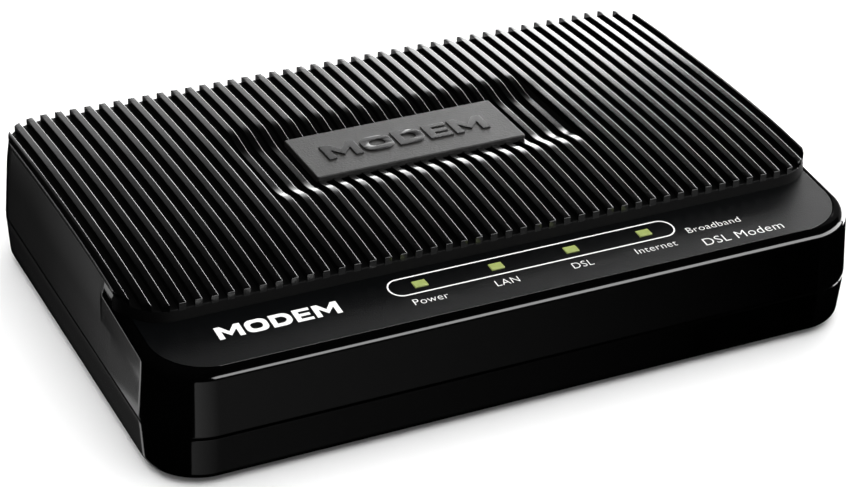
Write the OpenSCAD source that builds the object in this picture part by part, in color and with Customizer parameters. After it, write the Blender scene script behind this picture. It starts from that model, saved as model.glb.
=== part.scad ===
// Broadband (DSL) modem: two-part black case with a ribbed lid, a sunken badge,
// four status lights and a row of sockets in its back wall.
// Origin: centre of the footprint, on the surface that the modem stands on.
// +X to the right, +Y to the back, +Z up. Millimetres.

/* [Case] */
// Width of the case at the parting line
case_w = 142; // [136:1:170]
// Depth of the case at the parting line
case_d = 94; // [90:1:112]
// Plan radius of the case corners
corner_r = 11; // [8:1:14]
// Wall thickness
wall = 2; // [1.6:0.1:2.4]
// Height of the lower shell, underside to parting line
lower_h = 11.2; // [10:0.2:13]
// Height of the status panel's front edge above the underside
panel_h = 21.6; // [20:0.2:25]
// Rise of the status panel from its front edge to the deck
panel_rise = 1.3; // [0:0.1:2]
// Height of the deck's crown above the underside
deck_h = 27.5; // [27.5:0.1:32]
// Distance of the deck's crown in front of the case's middle
crown_fore = 4; // [2:0.5:8]
// Fall of the deck from its crown to its front edge
front_fall = 1.2; // [0:0.1:1.2]
// Fall of the deck from its crown to the back
back_fall = 2.2; // [0:0.1:2.2]
// Draft of the walls, in degrees
draft = 4; // [1:0.5:5]
// Gap between the shells along the parting line
parting_gap = 0.4; // [0.2:0.1:0.6]

/* [Deck] */
// Depth of the status panel in front of the deck
panel_d = 17.2; // [15:0.2:20]
// Plan radius of the deck's front corners
deck_r = 8.5; // [4:0.5:12]
// Number of ribs
rib_count = 47; // [31:2:47]
// Distance from rib to rib
rib_pitch = 3; // [2.6:0.1:3]
// Width of a rib
rib_w = 1.4; // [1:0.1:1.8]
// Depth of the grooves between the ribs
groove_depth = 1.2; // [0.8:0.1:1.6]

/* [Badge] */
// Width of the badge plate
badge_w = 43.6; // [36:0.2:48]
// Depth of the badge plate, front to back
badge_d = 16.2; // [14:0.2:18]
// Thickness of the badge plate
badge_t = 1.25; // [1:0.05:1.4]
// Distance of the badge centre from the middle, to the right
badge_x = 0; // [-4:0.5:4]
// Distance of the badge centre from the middle, to the back
badge_y = 8.2; // [8:0.1:12]
// Depth of the dish around the badge
dish_depth = 1.4; // [1:0.1:1.5]
// Width of the dish beyond the badge, at each side
dish_side = 11.9; // [6:0.1:13]
// Depth of the dish beyond the badge, in front
dish_fore = 6.8; // [5.6:0.1:8]
// Depth of the dish beyond the badge, behind
dish_aft = 6.9; // [5.6:0.1:7]
// Length of the slope into the dish, at each side
dish_bend = 4.6; // [3:0.2:5.4]
// Length of the slope into the dish, in front
dish_bend_fore = 7; // [5:0.2:7.4]
// Length of the slope into the dish, behind
dish_bend_aft = 8.6; // [5:0.2:8.8]

/* [Status lights] */
// Number of status lights
light_count = 4; // [2:1:5]
// Distance from light to light
light_pitch = 15.2; // [10:0.2:16]
// Middle of the row of lights, to the right of the case's middle
light_x = 5.8; // [0:0.2:6]
// Distance of the lights in front of the deck
light_inset = 4.8; // [4:0.2:7]
// Width of a light window
window_w = 2.6; // [2:0.1:3.4]
// Depth of a light window, front to back
window_d = 2; // [1.6:0.1:2.6]

/* [Board] */
// Width of the circuit board
board_w = 129; // [124:1:130]
// Depth of the circuit board
board_d = 82; // [78:1:83]
// Thickness of the circuit board
board_t = 1.6; // [1:0.2:1.6]
// Clear height under the circuit board
board_lift = 4; // [3.6:0.2:4.4]

/* [Sockets] */
// Middle of the telephone-line socket
phone_x = -32; // [-34:1:-30]
// Middle of the Ethernet socket
ethernet_x = -10; // [-12:1:-6]
// Middle of the reset button
reset_x = 8; // [6:1:12]
// Middle of the power inlet
power_x = 26; // [22:1:28]
// Middle of the power button
switch_x = 41; // [38:1:43]
// Clearance around the sockets in the socket wall
socket_gap = 0.4; // [0.2:0.1:0.6]
// Width of the sunken bay in the back that shows the socket wall
bay_w = 92; // [88:1:94]
// Middle of the bay
bay_x = 3; // [1:1:4]
// Depth of the bay
bay_depth = 2.9; // [2.9:0.1:4]

/* [Buttons] */
// Diameter of the power button
button_dia = 6.4; // [5:0.2:7]
// Travel of the power button
button_travel = 2; // [1:0.1:2.5]
// Travel of the reset plunger
reset_travel = 0.3; // [0.2:0.1:0.5]
// Diameter of the reset pinhole
pinhole_dia = 2.4; // [1.6:0.2:3]

/* [Feet and screws] */
// Height of the rubber feet below the case
foot_h = 1; // [0.6:0.1:2]
// Diameter of the rubber feet
foot_dia = 10; // [8:0.5:12]
// Distance of the feet from the middle, sideways
foot_x = 45; // [40:1:48]
// Distance of the case screws from the middle, sideways
screw_x = 57; // [55:0.5:58]
// Number of vent slots in each of the two rows
vent_count = 12; // [6:1:14]

/* [Hidden] */
$fn = 48;

// Levels, from the surface that the modem stands on.
base_z = foot_h;
floor_z = base_z + wall;
split_z = base_z + lower_h;
board_z = floor_z + board_lift;
board_top = board_z + board_t;
top_z = base_z + deck_h;

// Plan positions.
half_w = case_w / 2;
half_d = case_d / 2;
deck_y = panel_d - half_d;
light_y = deck_y - light_inset;
panel_slope = panel_rise / panel_d;
groove_w = rib_pitch - rib_w;

// Socket wall at the bottom of the bay, a part of the lower shell.
bay_face = half_d - bay_depth;
bay_low = board_top - 2;
bay_lap = 1.5;
cavity_top = top_z - back_fall - groove_depth - 1.6;
crown_y = -crown_fore;
bay_high = cavity_top - 0.7;

// Seam between the shells: a tongue on the lower one stands inside the upper one.
seam_gap = parting_gap / 2;
tongue_in = wall * 0.6;
tongue_h = 1.4;
tongue_clear = 0.2;

// Case screws and board screws.
screw_front_y = 14 - half_d;
screw_back_y = half_d - 17;
screw_r = 1.45;
screw_hole_r = 1.7;
screw_grip_r = 1.5;
screw_head_r = 2.8;
screw_head_h = 1.8;
screw_len = 12;
head_recess_r = 3.2;
column_r = 4.2;
column_top = board_top + 1.6;
column_seat = base_z + 3;
board_screw_x = 50;
board_screw_y = [12 - board_d / 2, board_d / 2 - 25];
board_screw_r = 1;
board_screw_head_r = 2.3;
board_screw_head_h = 1.5;
post_r = 3;

// Sockets and switches on the board. Their mouths face the back.
mouth_y = bay_face - 0.4;
ethernet_size = [15.9, 18.4, 13.3];
phone_size = [13.2, 16, 12];
power_size = [9, 14, 11];
power_axis_z = board_top + 6.3;
power_bore_r = 3.2;
power_pin_r = 1.05;
pin_root_r = 0.8;
plug_depth = 9.5;
switch_size = [8.5, 12, 8.6];
switch_y = bay_face - wall - 4;
switch_axis_z = board_top + switch_size.z / 2;
reset_size = [6, 4.4, 6.4];
reset_y = bay_face - wall - 2.6;
reset_axis_z = board_top + 4;
stem_r = 1.6;
stem_bore_r = 1.65;
reset_stem_r = 1.5;
reset_bore_r = 1.55;

// Height of the deck's rib tops without the dish: highest at the crown, falling to front and back.
function deck_z(y) = top_z - (y < crown_y
    ? front_fall * pow((crown_y - max(y, deck_y)) / (crown_y - deck_y), 2)
    : back_fall * pow((y - crown_y) / (half_d - crown_y), 2));
// Height of the status panel.
function panel_z(y) = base_z + panel_h + panel_slope * (y + half_d);
// Smooth step from 0 to 1 while t goes from 0 to 1.
function ease(t) = let (c = min(1, max(0, t))) c * c * (3 - 2 * c);
// Depth of the dish: full around the badge, easing out over the bend.
function dish(x, y) = dish_depth
    * ease((badge_w / 2 + dish_side - abs(x - badge_x)) / dish_bend)
    * ease(min((y - dish_front) / dish_bend_fore, (dish_back - y) / dish_bend_aft));
function rib_z(x, y) = deck_z(y) - dish(x, y);
// Plan lengths at which a cut along the deck changes its slope.
dish_back = badge_y + badge_d / 2 + dish_aft;
dish_front = badge_y - badge_d / 2 - dish_fore;
dish_steps = 5;
fore_stations = concat([-half_d], [for (k = [0 : 2]) deck_y + k * (dish_front - deck_y) / 3], [dish_front]);
aft_stations = [for (k = [0 : 4]) dish_back + k * (half_d + 1 - dish_back) / 4];
crown_stations = concat(fore_stations,
    [for (k = [1 : 3]) dish_front + k * (dish_back - dish_front) / 4], aft_stations);
dish_stations = concat(fore_stations,
    [for (k = [1 : dish_steps]) dish_front + k * dish_bend_fore / dish_steps],
    [for (k = [dish_steps : -1 : 1]) dish_back - k * dish_bend_aft / dish_steps], aft_stations);

// One closed block through rounded-rectangle levels, each [inset, z], from the lowest up.
corner_steps = 10;
ring_n = 4 * (corner_steps + 1);
function ring(inset, z) = [for (q = [0 : 3], k = [0 : corner_steps])
    let (a = 90 * (q + k / corner_steps), side_x = (q == 0 || q == 3) ? 1 : -1, side_y = q < 2 ? 1 : -1)
        [side_x * (half_w - corner_r) + (corner_r - inset) * cos(a),
            side_y * (half_d - corner_r) + (corner_r - inset) * sin(a), z]];
module block(levels) {
    last = (len(levels) - 1) * ring_n;
    polyhedron(
        points = [for (level = levels) each ring(level[0], level[1])],
        faces = concat(
            [[for (i = [0 : ring_n - 1]) i], [for (i = [ring_n - 1 : -1 : 0]) last + i]],
            [for (k = [0 : len(levels) - 2], i = [0 : ring_n - 1]) let (next = (i + 1) % ring_n)
                [k * ring_n + i, (k + 1) * ring_n + i, (k + 1) * ring_n + next, k * ring_n + next]]));
}

function lean(h) = h * tan(draft);

// A pocket for one vent, foot or socket is cut by copying its children to both sides.
module both_sides(x) {
    for (side = [-1, 1]) translate([side * x, 0, 0]) children();
}

module at_case_screws() {
    both_sides(screw_x)
        for (y = [screw_front_y, screw_back_y]) translate([0, y, 0]) children();
}

module at_board_screws() {
    both_sides(board_screw_x)
        for (y = board_screw_y) translate([0, y, 0]) children();
}

module at_feet() {
    both_sides(foot_x)
        for (y = [10 - half_d, half_d - 11]) translate([0, y, 0]) children();
}

module at_lights() {
    for (i = [0 : light_count - 1])
        translate([light_x + (i - (light_count - 1) / 2) * light_pitch, light_y, 0]) children();
}

module rear_block(x, size, grow = 0) {
    translate([x - size.x / 2 - grow, mouth_y - size.y, board_top - grow])
        cube([size.x + 2 * grow, size.y, size.z + 2 * grow]);
}

// The wall that the sockets look through, with a sill that joins it to the back of the case.
module socket_wall() {
    foot = floor_z - 0.5;
    translate([bay_x - bay_w / 2 - bay_lap, bay_face - wall, foot]) {
        cube([bay_w + 2 * bay_lap, wall, cavity_top - 0.3 - foot]);
        cube([bay_w + 2 * bay_lap, bay_depth + wall - 1.2, bay_low - foot]);
    }
}

// Everything that the sockets and buttons need cut from the socket wall.
module socket_openings() {
    for (s = [[ethernet_x, ethernet_size], [phone_x, phone_size], [power_x, power_size]])
        translate([s[0] - s[1].x / 2 - socket_gap, bay_face - 2 * wall, board_top - socket_gap])
            cube([s[1].x + 2 * socket_gap, 3 * wall, s[1].z + 2 * socket_gap]);
    translate([switch_x, bay_face - 2 * wall, switch_axis_z]) rotate([-90, 0, 0])
        cylinder(d = button_dia + 0.8, h = 3 * wall);
    translate([reset_x, bay_face - 2 * wall, reset_axis_z]) rotate([-90, 0, 0])
        cylinder(d = pinhole_dia, h = 3 * wall);
}

// The opening of the bay in the outer wall.
module bay_opening(low, high) {
    translate([bay_x - bay_w / 2, bay_face, low]) cube([bay_w, 2 * bay_depth + 2, high - low]);
}

module vent_slots() {
    slot_w = 1.8;
    slot_l = 15;
    vent_pitch = 4;
    row_y = 30;
    for (row = [-row_y, row_y], i = [0 : vent_count - 1])
        translate([(i - (vent_count - 1) / 2) * vent_pitch - slot_w / 2, row - slot_l / 2, base_z - 1])
            cube([slot_w, slot_l, wall + 2]);
}

module lower_shell() {
    color("#141416") difference() {
        union() {
            difference() {
                union() {
                    block([[lean(lower_h) + 1.4, base_z], [lean(lower_h) + 0.4, base_z + 0.4],
                        [lean(lower_h - 1.6), base_z + 1.6], [0, split_z - seam_gap]]);
                    block([[tongue_in, split_z - seam_gap - 1], [tongue_in, split_z + tongue_h]]);
                }
                block([[wall + lean(lower_h), floor_z], [wall, split_z], [wall, split_z + tongue_h + 1]]);
            }
            at_case_screws() translate([0, 0, base_z + 1]) cylinder(r = column_r, h = column_top - base_z - 1);
            at_board_screws() translate([0, 0, floor_z - 0.5]) cylinder(r = post_r, h = board_z - floor_z + 0.5);
            socket_wall();
        }
        at_case_screws() {
            translate([0, 0, base_z - 1]) cylinder(r = head_recess_r, h = column_seat - base_z + 1);
            translate([0, 0, base_z]) cylinder(r = screw_hole_r, h = column_top);
        }
        at_board_screws() translate([0, 0, floor_z + 0.4]) cylinder(r = board_screw_r + 0.05, h = board_z);
        at_feet() translate([0, 0, base_z - 1]) cylinder(d = foot_dia + 0.4, h = 1.3);
        vent_slots();
        socket_openings();
        bay_opening(bay_low, top_z);
    }
}

// Plan outline of the deck, with a rounded front corner at each side.
module deck_outline() {
    side = half_w - lean(panel_h - lower_h);
    translate([-side, deck_y + deck_r]) square([2 * side, case_d]);
    translate([deck_r - side, deck_y]) square([2 * (side - deck_r), deck_r + 1]);
    both_sides(side - deck_r) translate([0, deck_y + deck_r]) circle(r = deck_r);
}

// Space above the panel and in front of the deck.
module panel_cut() {
    difference() {
        rotate([90, 0, 90]) translate([0, 0, -case_w]) linear_extrude(2 * case_w)
            polygon([[-case_d, panel_z(-case_d)], [deck_y + 2 * deck_r, panel_z(deck_y + 2 * deck_r)],
                [deck_y + 2 * deck_r, top_z + 9], [-case_d, top_z + 9]]);
        translate([0, 0, base_z]) linear_extrude(deck_h + 8) deck_outline();
    }
}

// A cut w wide and centred on x, above the line through the points [y, z] of a profile.
module deck_cut(x, w, profile) {
    translate([x - w / 2, 0, 0]) rotate([90, 0, 90]) linear_extrude(w)
        polygon(concat(profile, [[half_d + 1, top_z + 3], [-half_d, top_z + 3]]));
}

// The ribs' tops follow the crown, and dip into the dish where they cross it.
module deck_relief() {
    reach = badge_w / 2 + dish_side;
    deck_cut(0, 2 * case_w, [for (y = crown_stations) [y, deck_z(y)]]);
    for (i = [0 : rib_count - 1])
        let (x = (i - (rib_count - 1) / 2) * rib_pitch)
            if (abs(x - badge_x) < reach)
                deck_cut(x, rib_w + 0.2, [for (y = dish_stations) [y, rib_z(x, y)]]);
    for (i = [1 : rib_count - 1])
        let (x = (i - rib_count / 2) * rib_pitch)
            deck_cut(x, groove_w, [for (y = abs(x - badge_x) < reach ? dish_stations : crown_stations)
                [y, rib_z(x, y) - groove_depth]]);
}

badge_z = deck_z(badge_y) - dish_depth - 0.5;
badge_tilt = atan((deck_z(badge_y - 1) - deck_z(badge_y + 1)) / 2);

// The plate's own space, lying on the slope of the deck.
module badge_space(grow, low, high) {
    translate([badge_x, badge_y, badge_z]) rotate([-badge_tilt, 0, 0])
        translate([-badge_w / 2 - grow, -badge_d / 2 - grow, low])
            cube([badge_w + 2 * grow, badge_d + 2 * grow, high - low]);
}

module upper_shell() {
    color("#101012") difference() {
        union() {
            difference() {
                block([[0, split_z + seam_gap], [lean(deck_h - lower_h - 1), top_z - 1],
                    [lean(deck_h - lower_h) + 0.6, top_z]]);
                difference() {
                    block([[wall, split_z - 1], [wall + lean(deck_h - lower_h), top_z]]);
                    // Underside of the lid: panel in front, deck behind, a pad under the dish.
                    rotate([90, 0, 90]) translate([0, 0, -case_w]) linear_extrude(2 * case_w)
                        polygon([[-case_d, panel_z(-case_d) - wall], [deck_y + wall, panel_z(deck_y) - wall],
                            [deck_y + wall, cavity_top + 0.6], [crown_y, cavity_top + 1],
                            [half_d, cavity_top], [case_d, cavity_top],
                            [case_d, top_z + 9], [-case_d, top_z + 9]]);
                    badge_space(dish_side - dish_bend + 1, -1.6, 9);
                }
                block([[tongue_in - tongue_clear, split_z - 1],
                    [tongue_in - tongue_clear, split_z + tongue_h + tongue_clear]]);
            }
            at_case_screws() translate([0, 0, column_top + 0.2])
                cylinder(r = column_r - 0.8, h = cavity_top + 1 - column_top);
        }
        panel_cut();
        difference() {
            deck_relief();
            badge_space(0.7, -2, 9);
        }
        badge_space(0.15, 0, 9);
        at_lights() translate([-window_w / 2 - 0.1, -window_d / 2 - 0.1, split_z])
            cube([window_w + 0.2, window_d + 0.2, deck_h]);
        at_case_screws() translate([0, 0, column_top - 1]) cylinder(r = screw_grip_r, h = 8);
        bay_opening(split_z - 1, bay_high);
    }
}

// Block letters for the badge, each built from straight bars in a cell one unit high.
module badge_plate() {
    letter_h = 5.6;
    letter_t = 0.35;
    bar = 1.1;
    step = 6.4;
    color("#3c3c3e") union() {
        badge_space(0, 0, badge_t);
        translate([badge_x, badge_y, badge_z]) rotate([-badge_tilt, 0, 0])
            translate([0, 0, badge_t - 0.1]) linear_extrude(letter_t + 0.1)
                for (i = [0 : 4])
                    translate([(i - 2) * step - letter_h * 0.4, -letter_h / 2])
                        letter("MODEM"[i], letter_h, bar);
    }
}

// One upright capital, w wide and h high, drawn with bars of width b.
module letter(name, h, b) {
    w = 0.8 * h;
    if (name == "M") {
        square([b, h]);
        translate([w - b, 0]) square([b, h]);
        polygon([[0, h], [b, h], [w / 2, h * 0.5], [w - b, h], [w, h], [w / 2 + b / 2, h * 0.3],
            [w / 2 - b / 2, h * 0.3]]);
    }
    if (name == "O") difference() {
        square([w, h]);
        translate([b, b]) square([w - 2 * b, h - 2 * b]);
    }
    if (name == "D") difference() {
        polygon([[0, 0], [w * 0.7, 0], [w, h * 0.25], [w, h * 0.75], [w * 0.7, h], [0, h]]);
        polygon([[b, b], [w * 0.62, b], [w - b, h * 0.32], [w - b, h * 0.68], [w * 0.62, h - b], [b, h - b]]);
    }
    if (name == "E") {
        square([b, h]);
        for (y = [0, (h - b) / 2, h - b]) translate([0, y]) square([w, b]);
    }
}

module light_pipe() {
    rail_h = 1.8;
    rail_z = panel_z(light_y) - wall - rail_h - 0.5;
    rail_w = (light_count - 1) * light_pitch + 6;
    color("#b9d24a") union() {
        translate([light_x - rail_w / 2, light_y - window_d / 2, rail_z]) cube([rail_w, window_d, rail_h]);
        at_lights() translate([-window_w / 2, -window_d / 2, board_top + 2])
            cube([window_w, window_d, panel_z(light_y) - board_top - 2 + 0.1]);
    }
}

module circuit_board() {
    color("#1d5a34") difference() {
        translate([-board_w / 2, -board_d / 2, board_z]) cube([board_w, board_d, board_t]);
        at_case_screws() translate([0, 0, board_z - 1]) cylinder(r = column_r + 0.6, h = board_t + 2);
        at_board_screws() translate([0, 0, board_z - 1]) cylinder(r = board_screw_r + 0.3, h = board_t + 2);
        for (sx = [-1, 1], sy = [-1, 1])
            translate([sx * board_w / 2, sy * board_d / 2, board_z - 1]) rotate(45)
                translate([-5, -5, 0]) cube([10, 10, board_t + 2]);
    }
}

module status_leds() {
    color("#d8e6b0") at_lights() translate([0, 0, board_top]) {
        translate([-1.5, -1, 0]) cube([3, 2, 0.8]);
        cylinder(r = 0.8, h = 1.5);
    }
}

// A modular socket: housing with a plug space and a slot for the plug's latch below it.
module modular_jack(x, size, plug_w) {
    wall_t = 1.5;
    plug_h = 7.4;
    latch_w = plug_w * 0.5;
    plug_z = board_top + size.z - wall_t - plug_h;
    difference() {
        rear_block(x, size);
        translate([x - plug_w / 2, mouth_y - 14, plug_z]) cube([plug_w, 15, plug_h]);
        translate([x - latch_w / 2, mouth_y - 10, plug_z - 1.7]) cube([latch_w, 11, 2.7]);
    }
}

// The sprung contacts of a modular socket, sloping down from the front of its roof.
module modular_contacts(x, size, count) {
    contact_pitch = 1.02;
    contact_w = 0.45;
    contact_t = 0.35;
    roof = board_top + size.z - 1.5 - 0.1;
    for (i = [0 : count - 1])
        translate([x + (i - (count - 1) / 2) * contact_pitch - contact_w / 2, 0, 0])
            rotate([90, 0, 90]) linear_extrude(contact_w)
                polygon([[mouth_y - 3, roof], [mouth_y - 3, roof - contact_t], [mouth_y - 11, roof - 2.2],
                    [mouth_y - 11, roof - 2.2 + contact_t], [mouth_y - 3.6, roof]]);
}

module ethernet_jack() {
    color("#1a1a1c") modular_jack(ethernet_x, ethernet_size, 12);
}

module ethernet_contacts() {
    color("#caa24a") modular_contacts(ethernet_x, ethernet_size, 8);
}

module phone_jack() {
    color("#1a1a1c") modular_jack(phone_x, phone_size, 9.9);
}

module phone_contacts() {
    color("#caa24a") modular_contacts(phone_x, phone_size, 4);
}

module power_jack() {
    color("#171718") difference() {
        rear_block(power_x, power_size);
        translate([power_x, mouth_y + 1, power_axis_z]) rotate([90, 0, 0])
            cylinder(r = power_bore_r, h = plug_depth + 1);
        translate([power_x, mouth_y - plug_depth + 1, power_axis_z]) rotate([90, 0, 0])
            cylinder(r = pin_root_r + 0.05, h = 4);
    }
}

module power_jack_pin() {
    color("#c9ccd0") translate([power_x, mouth_y - 0.6, power_axis_z]) rotate([90, 0, 0]) {
        cylinder(r = power_pin_r, h = plug_depth - 0.6);
        cylinder(r = pin_root_r, h = plug_depth + 1.4);
    }
}

module power_switch() {
    color("#202022") difference() {
        translate([switch_x - switch_size.x / 2, switch_y - switch_size.y, board_top]) cube(switch_size);
        translate([switch_x, switch_y + 1, switch_axis_z]) rotate([90, 0, 0])
            cylinder(r = stem_bore_r, h = 7);
    }
}

module power_button() {
    cap_back = switch_y + button_travel + 0.4;
    cap_front = half_d - 0.05;
    color("#2a2a2c") translate([switch_x, 0, switch_axis_z]) rotate([-90, 0, 0]) {
        translate([0, 0, cap_back]) cylinder(d = button_dia, h = cap_front - cap_back);
        translate([0, 0, switch_y - 3.5]) cylinder(r = stem_r, h = cap_back - switch_y + 4);
    }
}

module reset_switch() {
    color("#29292b") difference() {
        translate([reset_x - reset_size.x / 2, reset_y - reset_size.y, board_top]) cube(reset_size);
        translate([reset_x, reset_y + 1, reset_axis_z]) rotate([90, 0, 0]) cylinder(r = reset_bore_r, h = 3);
    }
}

module reset_plunger() {
    color("#d9d9d6") translate([reset_x, reset_y - 1.2, reset_axis_z]) rotate([-90, 0, 0])
        cylinder(r = reset_stem_r, h = 3.4);
}

// A flat chip with a thin leaded skirt, lying on the board.
module chip(x, y, w, d, h) {
    lead = 1;
    translate([x - w / 2, y - d / 2, board_top + 0.1]) cube([w, d, h - 0.1]);
    translate([x - w / 2 - lead, y - d / 2 + lead, board_top]) cube([w + 2 * lead, d - 2 * lead, 0.2]);
}

module modem_chip() {
    color("#1b1b1b") chip(-6, 4, 20, 20, 1.6);
}

module line_driver_chip() {
    color("#1b1b1b") chip(-30, 1, 9, 9, 1.2);
}

module memory_chip() {
    color("#1b1b1b") chip(22, -2, 11, 18, 1.2);
}

module flash_chip() {
    color("#1b1b1b") chip(-6, -18, 12, 9, 1.2);
}

// Wound transformer: two ferrite cheeks with a bobbin between them.
module line_transformer() {
    color("#3a3a30") translate([-38, 17, board_top]) {
        translate([-6.5, -6.5, 0]) cube([13, 3, 10]);
        translate([-6.5, 3.5, 0]) cube([13, 3, 10]);
        translate([-5.5, -3.6, 1]) cube([11, 7.2, 8]);
    }
}

module lan_transformer() {
    color("#1f1f21") chip(-10, 19, 12.5, 8, 5.6);
}

module surge_arrester() {
    color("#c98a3a") translate([-52, 4, board_top + 4]) rotate([90, 0, 0]) {
        translate([0, 0, -3]) cylinder(r = 4, h = 6);
        translate([0, 0, -4]) cylinder(r = 2.6, h = 8);
    }
}

module can(x, y, r, h) {
    translate([x, y, board_top]) {
        cylinder(r = r, h = h - 1);
        translate([0, 0, h - 1.5]) cylinder(r = r - 0.4, h = 1.5);
    }
}

module capacitors() {
    color("#22304f") {
        can(40, 18, 5, 10.6);
        can(58, 15, 4, 10);
        can(40, 4, 4, 10);
        can(52, 2, 3.15, 9);
        can(-46, -8, 3.15, 9);
    }
}

// Drum-core inductors: two flanges on a wound waist.
module inductors() {
    color("#8a4a2a")
        for (y = [-8, -20]) translate([44, y, board_top]) {
            cylinder(r = 4.5, h = 1);
            translate([0, 0, 0.8]) cylinder(r = 3.8, h = 3.4);
            translate([0, 0, 4]) cylinder(r = 4.5, h = 1);
        }
}

module crystals() {
    color("#c4c7cb")
        for (p = [[-22, -6], [12, 12]]) translate([p[0], p[1], board_top]) {
            translate([-3.2, -1.9, 0]) cube([6.4, 3.8, 3.4]);
            both_sides(3.2) cylinder(r = 1.9, h = 3.4);
        }
}

module regulators() {
    color("#1b1b1b") for (y = [-10, -21]) chip(30, y - 5, 6.5, 6.5, 1.8);
}

module chip_resistors() {
    color("#2e2e30")
        for (i = [0 : 8], j = [0 : 1])
            translate([-54 + i * 4, -22 + j * 4, board_top]) cube([2, 1.2, 0.6]);
}

module pin_header() {
    pins = 5;
    color("#c9a44a") for (i = [0 : pins - 1]) translate([-40 + i * 2.54, -31, board_top])
        cube([0.64, 0.64, 7]);
    color("#18181a") difference() {
        translate([-41, -32, board_top]) cube([pins * 2.54, 2.6, 2.5]);
        for (i = [0 : pins - 1]) translate([-40.02 + i * 2.54, -31.02, board_top - 1]) cube([0.68, 0.68, 5]);
    }
}

// A cross-recess pan screw, head down at z = 0 and shank upwards.
module screw(r, length, head_r, head_h) {
    slot = head_r * 0.3;
    difference() {
        union() {
            translate([0, 0, -head_h]) cylinder(r = head_r, h = head_h);
            translate([0, 0, -0.5]) cylinder(r = r, h = length + 0.5);
        }
        for (turn = [0, 90]) rotate(turn)
            translate([-head_r * 0.6, -slot / 2, -head_h - 1]) cube([head_r * 1.2, slot, 1 + head_h * 0.5]);
    }
}

module case_screws() {
    color("#b8bbc0") at_case_screws() translate([0, 0, column_seat])
        screw(screw_r, screw_len, screw_head_r, screw_head_h);
}

module board_screws() {
    color("#b8bbc0") at_board_screws() translate([0, 0, board_top]) rotate([180, 0, 0])
        screw(board_screw_r, board_t + board_lift - 0.8, board_screw_head_r, board_screw_head_h);
}

module rubber_feet() {
    rim = 0.5;
    color("#29292b") at_feet() {
        cylinder(r1 = foot_dia / 2 - rim, r2 = foot_dia / 2, h = rim);
        translate([0, 0, rim]) cylinder(d = foot_dia, h = foot_h + 0.3 - rim);
    }
}

module rating_label() {
    label_w = 60;
    label_d = 30;
    color("#d4d5d6") translate([-label_w / 2, -label_d / 2, base_z - 0.2]) cube([label_w, label_d, 0.2]);
}

lower_shell();
upper_shell();
badge_plate();
light_pipe();
circuit_board();
status_leds();
ethernet_jack();
ethernet_contacts();
phone_jack();
phone_contacts();
power_jack();
power_jack_pin();
power_switch();
power_button();
reset_switch();
reset_plunger();
modem_chip();
line_driver_chip();
memory_chip();
flash_chip();
line_transformer();
lan_transformer();
surge_arrester();
capacitors();
inductors();
crystals();
regulators();
chip_resistors();
pin_header();
case_screws();
board_screws();
rubber_feet();
rating_label();
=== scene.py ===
import math

import bmesh
import bpy
from mathutils import Matrix, Vector


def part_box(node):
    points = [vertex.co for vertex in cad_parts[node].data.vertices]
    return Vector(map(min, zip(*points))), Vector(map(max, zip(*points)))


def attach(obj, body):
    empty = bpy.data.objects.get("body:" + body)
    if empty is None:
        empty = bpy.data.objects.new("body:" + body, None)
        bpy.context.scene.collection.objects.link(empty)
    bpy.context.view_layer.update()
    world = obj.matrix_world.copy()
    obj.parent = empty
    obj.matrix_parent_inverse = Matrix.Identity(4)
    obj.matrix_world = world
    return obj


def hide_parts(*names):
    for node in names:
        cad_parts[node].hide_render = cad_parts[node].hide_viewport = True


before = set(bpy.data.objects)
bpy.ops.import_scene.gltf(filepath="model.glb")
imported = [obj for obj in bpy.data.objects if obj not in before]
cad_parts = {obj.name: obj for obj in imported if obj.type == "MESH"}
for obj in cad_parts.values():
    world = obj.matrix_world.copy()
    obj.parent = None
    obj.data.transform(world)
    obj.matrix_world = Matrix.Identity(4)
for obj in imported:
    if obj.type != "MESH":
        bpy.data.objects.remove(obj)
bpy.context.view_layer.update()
mm = 0.001
print("frame loaded")


# node trees

class Wire:
    def __init__(self, kit, socket):
        self.kit = kit
        self.socket = socket

    def calc(self, operation, a, b=None):
        values = {0: a} if b is None else {0: a, 1: b}
        return self.kit.add("ShaderNodeMath", {"operation": operation}, values)

    def __add__(self, other): return self.calc("ADD", self, other)
    def __radd__(self, other): return self.calc("ADD", other, self)
    def __sub__(self, other): return self.calc("SUBTRACT", self, other)
    def __rsub__(self, other): return self.calc("SUBTRACT", other, self)
    def __mul__(self, other): return self.calc("MULTIPLY", self, other)
    def __rmul__(self, other): return self.calc("MULTIPLY", other, self)
    def __truediv__(self, other): return self.calc("DIVIDE", self, other)
    def __gt__(self, other): return self.calc("GREATER_THAN", self, other)
    def __lt__(self, other): return self.calc("LESS_THAN", self, other)
    def __abs__(self): return self.calc("ABSOLUTE", self)
    def root(self): return self.calc("SQRT", self)
    def cosine(self): return self.calc("COSINE", self)
    def least(self, other): return self.calc("MINIMUM", self, other)
    def most(self, other): return self.calc("MAXIMUM", self, other)


class Kit:
    def __init__(self, tree):
        self.tree = tree

    def add(self, kind, settings={}, values={}, out=0):
        node = self.tree.nodes.new(kind)
        for name, value in settings.items():
            setattr(node, name, value)
        for key, value in values.items():
            if isinstance(value, Wire):
                self.tree.links.new(value.socket, node.inputs[key])
            else:
                node.inputs[key].default_value = value
        return Wire(self, node.outputs[out])

    def mixColour(self, factor, a, b):
        return self.add("ShaderNodeMix", {"data_type": "RGBA"}, {0: factor, 6: a, 7: b}, 2)


def rgba(colour):
    return (*colour, 1.0)


# materials

def startMaterial(name):
    material = bpy.data.materials.new(name)
    material.use_nodes = True
    tree = material.node_tree
    tree.nodes.clear()
    kit = Kit(tree)
    shader = tree.nodes.new("ShaderNodeBsdfPrincipled")
    output = tree.nodes.new("ShaderNodeOutputMaterial")
    tree.links.new(shader.outputs[0], output.inputs[0])
    place = kit.add("ShaderNodeTexCoord", {}, {}, "Object")
    return material, kit, shader, place


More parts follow.
